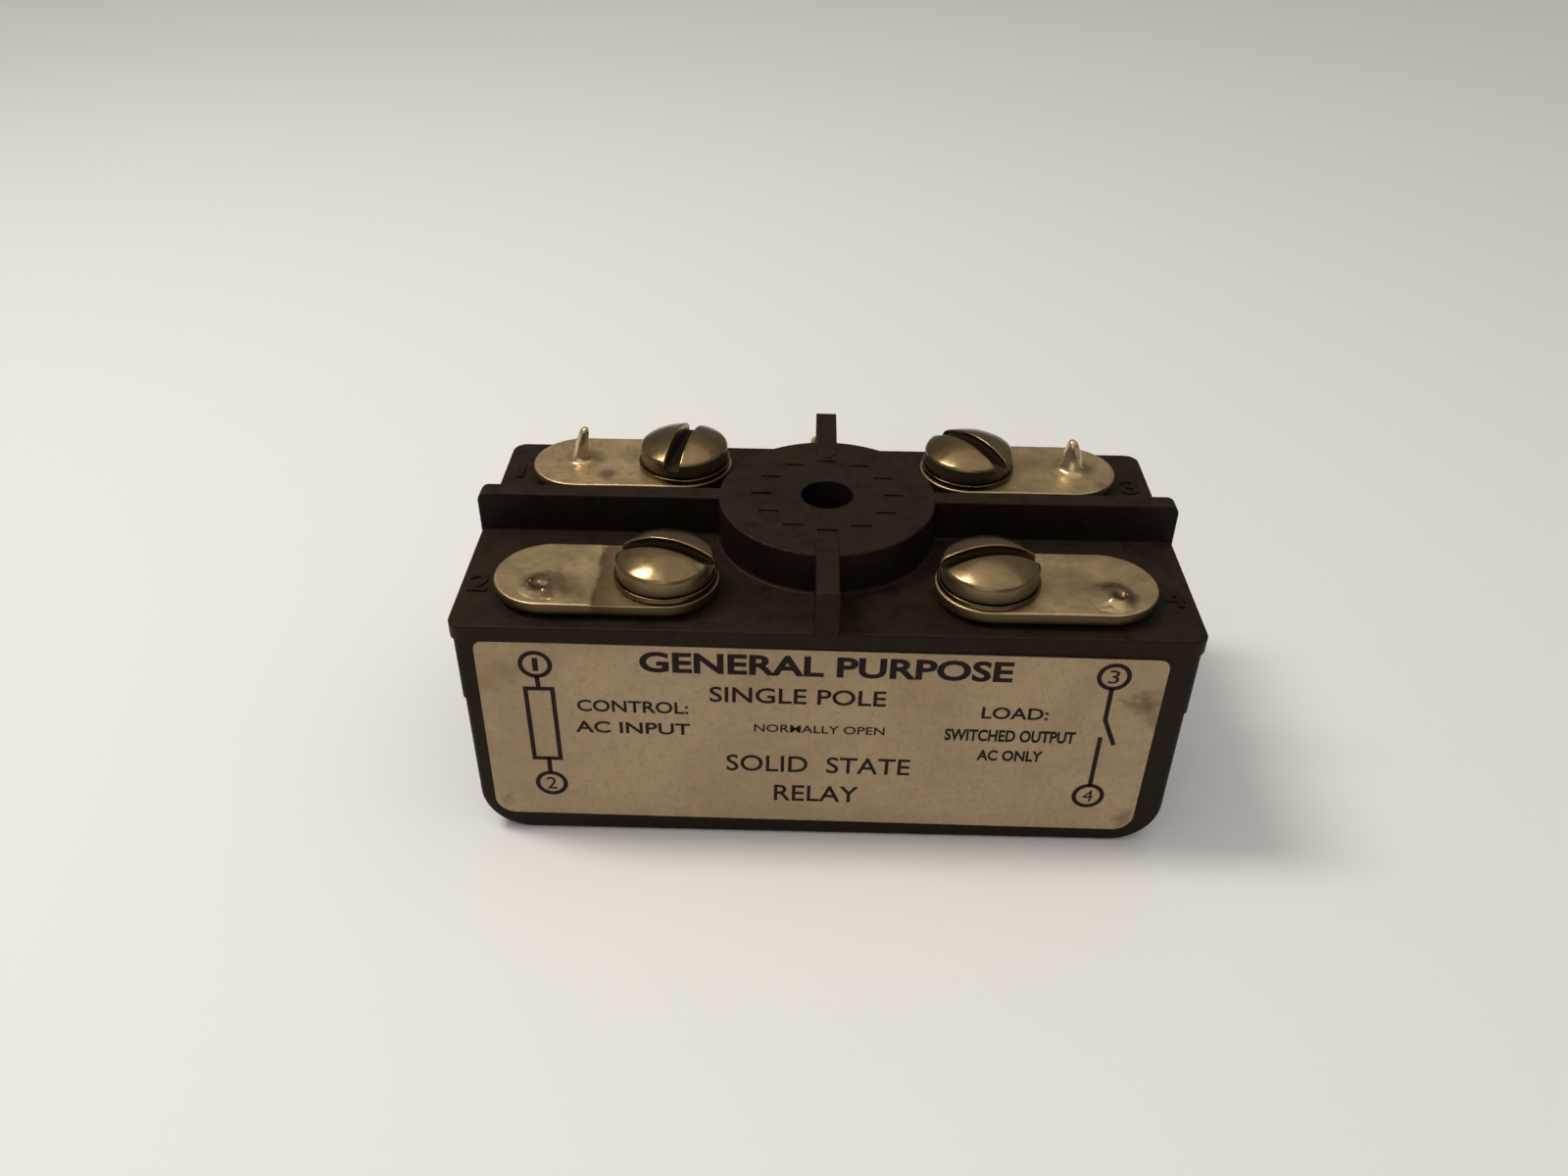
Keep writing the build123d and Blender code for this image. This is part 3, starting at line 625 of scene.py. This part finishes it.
def terminal_plate(number, material):
    """Strap with round ends, dipped in tin: soft rolled edges, and a hole for the screw."""
    node = f"terminal_plate_{number}"
    low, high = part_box(node)
    screw = centre(f"terminal_screw_{number}")
    far = centre(f"solder_joint_{number}")
    half_width = (high.y - low.y) / 2
    side = 1 if far.x > screw.x else -1
    near_x = (low.x + half_width) if side > 0 else (high.x - half_width)
    far_x = (high.x - half_width) if side > 0 else (low.x + half_width)
    mid_y = (low.y + high.y) / 2
    straight = abs(far_x - near_x)
    around = 2 * straight + tau * half_width
    hole = 2.4 * MM

    def outline(share):
        """Point of the strap's outline, by share of the way round it."""
        run = share * around
        if run < straight:
            return near_x + side * run, mid_y - side * half_width
        run -= straight
        if run < pi * half_width:
            angle = run / half_width - pi / 2
            return far_x + side * half_width * cos(angle), mid_y + side * half_width * sin(angle)
        run -= pi * half_width
        if run < straight:
            return far_x - side * run, mid_y + side * half_width
        angle = (run - straight) / half_width + pi / 2
        return near_x + side * half_width * cos(angle), mid_y + side * half_width * sin(angle)

    def depth_inside(x, y):
        """Distance in from the outline."""
        nearest = min(max(x, min(near_x, far_x)), max(near_x, far_x))
        return half_width - hypot(x - nearest, y - mid_y)

    roll = PLATE_ROLL * MM
    bm = bmesh.new()
    rows = []
    rims = [outline(step / OUTLINE_POINTS) for step in range(OUTLINE_POINTS)]

    def row(share, height=None):
        made = []
        for rim_x, rim_y in rims:
            away = hypot(rim_x - screw.x, rim_y - screw.y)
            reach = 1 - share * (1 - hole / away)
            x = screw.x + (rim_x - screw.x) * reach
            y = screw.y + (rim_y - screw.y) * reach
            z = height
            if height is None:
                inside = min(max(depth_inside(x, y), 0.0), roll)
                z = high.z - (roll - sqrt(max(roll ** 2 - (roll - inside) ** 2, 0.0)))
                z += plate_surface(x, y, number) * MM * (0.25 + 0.75 * inside / roll)
            made.append(bm.verts.new((x, y, z)))
        return made

    rows.append(row(1.0, low.z))
    rows.append(row(0.5, low.z))
    rows.append(row(0.012, low.z))
    rows.append(row(0.0, low.z + 0.08 * MM))
    rows.append(row(0.0, low.z + 0.3 * MM))
    for step in range(PLATE_RINGS + 1):
        rows.append(row((step / PLATE_RINGS) ** 1.6))
    for first, second in zip(rows, rows[1:] + rows[:1]):
        bridge(bm, first, second)
    mesh = welded(bm, node)
    smooth(mesh, 60)
    piece = new_piece(f"tinned_plate_{number}", mesh, material)
    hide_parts(node)
    return piece


# Profile of each joint from its edge to its tip, as (radius, height), how far the tip
# leans in X and Y, and bumps as (X, Y, height, radius) from the lead
SOLDER = {
    1: {
        "profile": ((1.7, -0.06), (1.3, 0.02), (1.0, 0.12), (0.80, 0.36), (0.69, 0.8), (0.61, 1.35),
                    (0.55, 1.95), (0.47, 2.5), (0.38, 2.87), (0.22, 3.08), (0.0, 3.15)),
        "lean": (0.55, 0.05),
        "bumps": ((-0.75, 0.25, 0.14, 0.25), (-0.45, -0.55, 0.12, 0.22)),
    },
    2: {
        "profile": ((2.2, -0.06), (1.85, 0.01), (1.45, 0.08), (1.1, 0.16), (0.8, 0.2), (0.55, 0.15),
                    (0.35, 0.06), (0.2, 0.01), (0.0, -0.01)),
        "lean": (-0.6, -0.1),
        "bumps": ((-1.05, 0.35, 0.1, 0.16), (-1.2, -0.1, 0.06, 0.12), (0.15, -0.8, 0.1, 0.16), (0.75, 0.75, 0.08, 0.11),
                  (0.75, -1.7, 0.07, 0.2)),
    },
    3: {
        "profile": ((2.1, -0.06), (1.65, 0.03), (1.3, 0.16), (1.03, 0.45), (0.86, 0.9), (0.73, 1.45),
                    (0.6, 2.0), (0.46, 2.45), (0.25, 2.72), (0.0, 2.8)),
        "lean": (-0.2, 0.05),
        "bumps": ((-0.9, 0.3, 0.08, 0.4),),
    },
    4: {
        "profile": ((2.2, -0.06), (1.9, 0.01), (1.5, 0.1), (1.1, 0.24), (0.8, 0.34), (0.55, 0.32),
                    (0.35, 0.2), (0.15, 0.1), (0.0, 0.08)),
        "lean": (0.75, -0.25),
        "bumps": ((-0.15, -0.75, 0.1, 0.24), (-1.5, -1.45, 0.05, 0.18), (-0.95, -1.6, 0.06, 0.18), (-0.4, -1.55, 0.06, 0.18),
                  (1.4, -1.55, 0.07, 0.17), (1.15, 0.0, 0.05, 0.12)),
    },
}


def eased(points, between):
    """A smooth run through the points, by Catmull-Rom, with that many steps between each two."""
    run = []
    for index in range(len(points) - 1):
        before = points[max(index - 1, 0)]
        start, end = points[index], points[index + 1]
        beyond = points[min(index + 2, len(points) - 1)]
        for step in range(between):
            t = step / between
            run.append(tuple(
                0.5 * (2 * b + (c - a) * t + (2 * a - 5 * b + 4 * c - d) * t ** 2 + (3 * b - 3 * c + d - a) * t ** 3)
                for a, b, c, d in zip(before, start, end, beyond)
            ))
    return run + [points[-1]]


def solder_joint(number, material):
    """Uneven, shiny solder that feathers out onto its plate."""
    node = f"solder_joint_{number}"
    low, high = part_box(node)
    middle = (low + high) / 2
    plate_top = low.z
    shape = SOLDER[number]
    profile = eased(shape["profile"], 5)
    tallest = max(height for _, height in profile)
    segments = 96
    bm = bmesh.new()
    rings = []
    for radius, height in profile[:-1]:
        lean = (max(height, 0.0) / tallest) ** 2 if tallest > 1.0 else 1 - radius / profile[0][0]
        ring = []
        for step in range(segments):
            angle = tau * step / segments
            wave = 1 + 0.13 * ripple((cos(angle) * MM, sin(angle) * MM, height * MM), 0.9, 2.3 * number)
            dx = radius * wave * cos(angle) + lean * shape["lean"][0]
            dy = radius * wave * sin(angle) + lean * shape["lean"][1]
            up = height
            if height < 0.6 * tallest or tallest < 1.0:
                for bump_x, bump_y, rise, spread in shape["bumps"]:
                    up += rise * math.exp(-((dx - bump_x) ** 2 + (dy - bump_y) ** 2) / spread ** 2)
            up += 0.02 * ripple((dx * MM, dy * MM, height * MM), 1.6, number) * min(1.0, radius)
            if ring or radius < profile[0][0]:
                up += plate_surface(middle.x + dx * MM, middle.y + dy * MM, number) * (radius / profile[0][0])
            ring.append(bm.verts.new((middle.x + dx * MM, middle.y + dy * MM, plate_top + up * MM)))
        rings.append(ring)
    skirt = [bm.verts.new((v.co.x, v.co.y, plate_top - 0.25 * MM)) for v in rings[0]]
    bridge(bm, skirt, rings[0])
    for first, second in zip(rings, rings[1:]):
        bridge(bm, first, second)
    cap(bm, rings[-1])
    cap(bm, skirt)
    mesh = welded(bm, node)
    smooth(mesh, 60)
    piece = new_piece(f"solder_{number}", mesh, material)
    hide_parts(node)
    return piece


# ---- Label print and moulded digits ----------------------------------------------

PRINT_THICKNESS = 0.02
LABEL_TILT = radians(-0.55)
label_low, label_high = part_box("label")
PRINT_BACK = label_low.y / MM


def front_frame(x, z):
    """Matrix that puts a flat XY drawing in millimetres on the label's face at (x, z), tilted as it is."""
    upright = Matrix.Rotation(radians(90), 4, "X")
    place = Matrix.Translation(Vector((x, PRINT_BACK, z)) * MM)
    return place @ upright @ Matrix.Rotation(LABEL_TILT, 4, "Z") @ Matrix.Scale(MM, 4)


def lettering(text, width, height, thickness, boldness=0.0):
    """A word as a closed flat mesh in millimetres, centred on the origin, that fills the given box."""
    curve = bpy.data.curves.new("lettering", "FONT")
    curve.body = text
    curve.resolution_u = 4
    curve.offset = boldness
    curve.extrude = 0.5
    holder = bpy.data.objects.new("lettering", curve)
    bpy.context.scene.collection.objects.link(holder)
    bpy.context.view_layer.update()
    mesh = bpy.data.meshes.new_from_object(holder.evaluated_get(bpy.context.evaluated_depsgraph_get()))
    bpy.data.objects.remove(holder)
    bpy.data.curves.remove(curve)
    xs = [v.co.x for v in mesh.vertices]
    ys = [v.co.y for v in mesh.vertices]
    zs = [v.co.z for v in mesh.vertices]
    mesh.transform(Matrix.Translation((-(min(xs) + max(xs)) / 2, -(min(ys) + max(ys)) / 2, -min(zs))))
    grow = Vector((width / (max(xs) - min(xs)), height / (max(ys) - min(ys)), thickness / (max(zs) - min(zs))))
    mesh.transform(Matrix.Diagonal((*grow, 1.0)))
    return mesh


def stroke(bm, points, width, thickness, closed=False):
    """A flat line of the given width along the points, as a closed solid."""
    count = len(points)
    sides = []
    for index, point in enumerate(points):
        here = Vector(point)
        before = Vector(points[index - 1]) if closed or index else here
        after = Vector(points[(index + 1) % count]) if closed or index < count - 1 else here
        into = (here - before).normalized() if (here - before).length else (after - here).normalized()
        out = (after - here).normalized() if (after - here).length else into
        across = Vector((-into.y, into.x)) + Vector((-out.y, out.x))
        across.normalize()
        stretch = max(0.4, across.dot(Vector((-into.y, into.x))))
        offset = across * (width / 2 / stretch)
        sides.append((here - offset, here + offset))
    loops = []
    for left, right in sides:
        loops.append([
            bm.verts.new((left.x, left.y, 0)),
            bm.verts.new((right.x, right.y, 0)),
            bm.verts.new((right.x, right.y, thickness)),
            bm.verts.new((left.x, left.y, thickness)),
        ])
    pairs = list(zip(loops, loops[1:])) + ([(loops[-1], loops[0])] if closed else [])
    for first, second in pairs:
        bridge(bm, first, second)
    if not closed:
        bm.faces.new(loops[0])
        bm.faces.new(loops[-1])


def circle_points(x, y, radius, count=40):
    return [(x + radius * cos(tau * step / count), y + radius * sin(tau * step / count)) for step in range(count)]


# Words: text, middle X and Z, width, height, and how bold
WORDS = {
    "heading": ("GENERAL PURPOSE", 0.05, 18.2, 28.5, 2.0, 0.03),
    "type_line": ("SINGLE POLE", -2.05, 15.2, 13.7, 1.55, 0.012),
    "control_title": ("CONTROL:", -14.95, 13.8, 8.7, 1.2, 0.016),
    "control_line": ("AC INPUT", -15.05, 11.6, 9.1, 1.2, 0.016),
    "small_line": ("NORMALLY OPEN", -0.3, 11.85, 10.3, 0.8, 0.008),
    "kind_upper": ("SOLID  STATE", -0.3, 8.05, 14.8, 1.75, 0.008),
    "kind_lower": ("RELAY", -0.4, 4.85, 6.9, 1.75, 0.008),
    "load_title": ("LOAD:", 14.9, 13.95, 5.2, 1.2, 0.016),
    "load_line": ("SWITCHED OUTPUT", 14.75, 11.6, 10.3, 1.25, 0.03),
    "load_kind": ("AC ONLY", 14.95, 9.5, 5.2, 1.15, 0.03),
}

# Terminal rings on the label: number and place
RINGS = ((1, -22.2, 17.85), (2, -22.07, 5.4), (3, 21.98, 17.83), (4, 21.8, 5.3))
RING_RADIUS = 1.14
LINE = 0.36


def label_print(material):
    for name, (text, x, z, width, height, boldness) in WORDS.items():
        mesh = lettering(text, width, height, PRINT_THICKNESS, boldness)
        mesh.transform(front_frame(x, z))
        new_piece(f"print_{name}", mesh, material)
    bm = bmesh.new()
    for _, x, z in RINGS:
        stroke(bm, circle_points(x, z, RING_RADIUS), LINE, PRINT_THICKNESS, closed=True)
    # Control input as a box between its terminals
    left, right, bottom, top = -23.2, -21.1, 8.15, 15.45
    stroke(bm, [(left, bottom), (right, bottom), (right, top), (left, top)], LINE, PRINT_THICKNESS, closed=True)
    stroke(bm, [(-22.2, 17.85 - RING_RADIUS), (-22.15, top)], LINE, PRINT_THICKNESS)
    stroke(bm, [(-22.05, bottom), (-22.07, 5.4 + RING_RADIUS)], LINE, PRINT_THICKNESS)
    # Load output as an open switch
    stroke(bm, [(21.97, 17.83 - RING_RADIUS), (21.95, 13.5), (23.0, 10.9)], LINE, PRINT_THICKNESS)
    stroke(bm, [(21.85, 11.7), (21.8, 5.3 + RING_RADIUS)], LINE, PRINT_THICKNESS)
    mesh = finished(bm, "print_symbols")
    # The drawing is in label coordinates already, so it is only stood upright
    mesh.transform(Matrix.Translation((0, PRINT_BACK * MM, 0)) @ Matrix.Rotation(radians(90), 4, "X") @ Matrix.Scale(MM, 4))
    new_piece("print_symbols", mesh, material)
    for number, x, z in RINGS:
        mesh = lettering(str(number), 0.82 if number > 1 else 0.42, 1.28, PRINT_THICKNESS, 0.0)
        mesh.transform(front_frame(x, z))
        new_piece(f"print_number_{number}", mesh, material)


DIGIT_HEIGHT = 2.3
DIGIT_WIDTH = 1.55
DIGIT_RELIEF = 0.14
DIGIT_FOOT = 0.04
CASE_TOP = 21.5

# Moulded terminal numbers, which read from the label side: place on the top
DIGITS = {1: (-27.1, 8.9), 2: (-27.15, -8.35), 3: (26.8, 8.1), 4: (27.0, -8.6)}


def moulded_digits(material):
    for number, (x, y) in DIGITS.items():
        width = 0.4 * DIGIT_WIDTH if number == 1 else DIGIT_WIDTH
        mesh = lettering(str(number), width, DIGIT_HEIGHT, DIGIT_RELIEF + DIGIT_FOOT, 0.02)
        place = Matrix.Translation(Vector((x, y, CASE_TOP - DIGIT_FOOT)) * MM)
        mesh.transform(place @ Matrix.Scale(MM, 4))
        new_piece(f"moulded_number_{number}", mesh, material)


def dab(material):
    """Small blunt drip of old lacquer against the left of the back rib, at the back edge."""
    profile = ((0.42, -0.05), (0.40, 0.4), (0.37, 0.9), (0.33, 1.25), (0.2, 1.48), (0.0, 1.54))
    bm = bmesh.new()
    rings = []
    for radius, height in eased(profile, 4)[:-1]:
        ring = []
        for step in range(32):
            angle = tau * step / 32
            wave = 1 + 0.25 * ripple((cos(angle) * MM, sin(angle) * MM, height * MM), 1.1, 9)
            ring.append(bm.verts.new((
                (-1.05 + 0.85 * radius * wave * cos(angle)) * MM,
                (13.45 + radius * wave * sin(angle)) * MM,
                (CASE_TOP + height) * MM,
            )))
        rings.append(ring)
    for first, second in zip(rings, rings[1:]):
        bridge(bm, first, second)
    cap(bm, rings[0])
    cap(bm, rings[-1])
    mesh = finished(bm, "lacquer_dab")
    smooth(mesh, 60)
    return new_piece("lacquer_dab", mesh, material)


# ---- Build -----------------------------------------------------------------------

plastic = case_plastic("case_plastic")
ink = print_ink()
for name in ("case_body", "terminal_cover"):
    paint(nodes[name], plastic)
paint(nodes["label"], label_paper())

# Painted shade: the washers are the screws' metal at 0.45 of its brightness, for the shade under the heads.
washer_metal = plated_steel("washer_steel", None, 0.45)

# Flux-stained spots on each plate and its solder, and one spot of painted shade: X, Y, radius, strength
STAINS_AND_SHADE = {
    1: ((-20.3, 9.6, 1.2, 0.3), (-18.9, 6.3, 0.9, 0.6), (-16.4, 10.5, 1.4, 0.25), (-12.5, 4.9, 1.6, 0.5),
        # Painted shade: this spot at the plate's inner end, by the screw, stands in for the shadow of the screw and
        # washer, with some dirt.
        (-9.6, 6.2, 2.2, 0.85)),
    2: ((-22.1, -10.2, 1.0, 0.95), (-21.8, -11.4, 0.9, 0.75), (-20.4, -10.4, 1.7, 0.5), (-18.9, -11.2, 1.6, 0.4),
        (-9.6, -11.0, 1.2, 0.6)),
    3: ((17.4, 9.6, 1.8, 0.3), (22.9, 8.9, 1.0, 0.35), (23.8, 6.0, 0.7, 0.45)),
    4: ((22.55, -10.7, 1.1, 0.95), (21.9, -9.4, 1.3, 0.5), (19.4, -8.6, 1.8, 0.3), (17.4, -9.6, 1.4, 0.2)),
}
TIN_LIFT = {1: 1.25, 2: 1.0, 3: 1.05, 4: 1.0}
for number in TERMINALS:
    bare_from = TIN_STEPS[number][0] if number in TIN_STEPS else None
    lead = centre(f"solder_joint_{number}") / MM
    tin = tinned_metal(f"tinned_plate_{number}", STAINS_AND_SHADE[number], lead[:2], TIN_LIFT[number], bare_from)
    spike_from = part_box(f"terminal_plate_{number}")[1].z / MM
    solder = tinned_metal(f"solder_{number}", STAINS_AND_SHADE[number], lead[:2], TIN_LIFT[number], None, spike_from)
    axis = centre(f"terminal_screw_{number}")
    axis.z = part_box(f"screw_washer_{number}")[1].z
    terminal_plate(number, tin)
    solder_joint(number, solder)
    terminal_screw(number, plated_steel(f"screw_steel_{number}", axis))
    paint(nodes[f"screw_washer_{number}"], washer_metal)

label_print(ink)
# The digits get a tenth of the brown, partly painted, lightening of upward faces, so they stay darker than the case
# top.
moulded_digits(case_plastic("digit_plastic", 0.1))
dab(inner_material("lacquer", (0.62, 0.56, 0.30), (0.45, 0.40, 0.20), 0.4))

INNER = {
    "brass": (((0.72, 0.52, 0.22), (0.55, 0.37, 0.14), 0.3, 1.0), [f"threaded_insert_{n}" for n in TERMINALS]),
    "tinned_wire": (((0.66, 0.63, 0.57), (0.5, 0.47, 0.42), 0.3, 1.0), [f"lead_{n}" for n in TERMINALS]),
    "aluminium": (((0.68, 0.68, 0.69), (0.52, 0.52, 0.53), 0.38, 1.0), ["base_plate", "mounting_sleeve"]),
    "ceramic": (((0.82, 0.80, 0.76), (0.70, 0.68, 0.64), 0.5, 0.0), ["ceramic_insulator"]),
    "copper": (((0.72, 0.36, 0.22), (0.5, 0.22, 0.12), 0.35, 1.0), ["heat_spreader"]),
    "component_black": (((0.03, 0.03, 0.031), (0.018, 0.018, 0.019), 0.5, 0.0),
                        ["power_triac", "optocoupler", "control_transistor", "protection_diode"]),
    "board_green": (((0.04, 0.16, 0.06), (0.025, 0.11, 0.04), 0.4, 0.0), ["circuit_board"]),
    "capacitor_film": (((0.5, 0.11, 0.04), (0.36, 0.07, 0.025), 0.3, 0.0), ["snubber_capacitor"]),
    "resistor_tan": (((0.52, 0.38, 0.21), (0.42, 0.29, 0.15), 0.35, 0.0),
                     ["input_resistor", "gate_resistor", "snubber_resistor"]),
    "potting_epoxy": (((0.03, 0.03, 0.034), (0.018, 0.018, 0.021), 0.3, 0.0), ["potting_compound"]),
}
for name, (finish, members) in INNER.items():
    material = inner_material(name, *finish)
    for member in members:
        paint(nodes[member], material)


# ---- Floor, light and camera ------------------------------------------------------


def floor(size=1.5):
    bm = bmesh.new()
    bmesh.ops.create_grid(bm, x_segments=2, y_segments=2, size=size)
    obj = bpy.data.objects.new("floor", finished(bm, "floor"))
    bpy.context.scene.collection.objects.link(obj)
    p = Paint("floor")
    colour = p.mix(p.noise(0.004, 2), (0.95, 0.95, 0.945), (0.93, 0.93, 0.925))
    paint(obj, p.done(colour, 0.7))


def area_light(name, place, target, size, power, tone):
    """Oval light with its width and its height up the arc, which points at the target."""
    data = bpy.data.lights.new(name, "AREA")
    data.shape = "ELLIPSE"
    data.size, data.size_y = size
    data.energy = power
    data.color = tone
    obj = bpy.data.objects.new(name, data)
    bpy.context.scene.collection.objects.link(obj)
    obj.location = place
    obj.rotation_euler = (Vector(target) - Vector(place)).to_track_quat("-Z", "Y").to_euler()


def world_light(tone, horizon, zenith):
    """Even surroundings, brighter overhead than round the horizon."""
    world = bpy.data.worlds.new("studio")
    world.use_nodes = True
    tree = world.node_tree
    background = tree.nodes["Background"]
    background.inputs["Color"].default_value = (*tone, 1.0)
    coordinates = tree.nodes.new("ShaderNodeTexCoord")
    parts = tree.nodes.new("ShaderNodeSeparateXYZ")
    spread = tree.nodes.new("ShaderNodeMapRange")
    spread.inputs["To Min"].default_value = horizon
    spread.inputs["To Max"].default_value = zenith
    tree.links.new(coordinates.outputs["Generated"], parts.inputs["Vector"])
    tree.links.new(parts.outputs["Z"], spread.inputs["Value"])
    tree.links.new(spread.outputs["Result"], background.inputs["Strength"])
    bpy.context.scene.world = world


def camera():
    """The viewpoint: in front, a little to the left, looking down at 35 degrees."""
    pitch, yaw, roll = radians(35.53), radians(-0.84), radians(0.70)
    forward = Vector((sin(yaw) * cos(pitch), cos(yaw) * cos(pitch), -sin(pitch)))
    right = Vector((cos(yaw), -sin(yaw), 0))
    up = right.cross(forward)
    tilted_right = cos(roll) * right + sin(roll) * up
    tilted_up = cos(roll) * up - sin(roll) * right
    turn = Matrix((tilted_right, tilted_up, -forward)).transposed().to_4x4()
    data = bpy.data.cameras.new("camera")
    data.lens = 29.52
    data.sensor_width = 36.0
    data.clip_start = 0.005
    obj = bpy.data.objects.new("camera", data)
    bpy.context.scene.collection.objects.link(obj)
    obj.matrix_world = Matrix.Translation(Vector((-2.11, -89.97, 79.91)) * MM) @ turn
    bpy.context.scene.camera = obj


floor()
camera()
world_light((1.0, 0.94, 0.86), 0.15, 0.34)
target = (0, 0, 0.02)
area_light("key", (-0.18, 0.02, 0.34), target, (0.07, 0.15), 0.62, (1.0, 0.95, 0.87))
area_light("top", (0.1, -0.1, 1.1), target, (1.6, 1.6), 3.0, (1.0, 0.98, 0.95))
area_light("fill", (-0.10, -0.50, 0.28), target, (0.45, 0.45), 0.32, (1.0, 0.97, 0.92))
bpy.context.scene.view_settings.view_transform = "Standard"
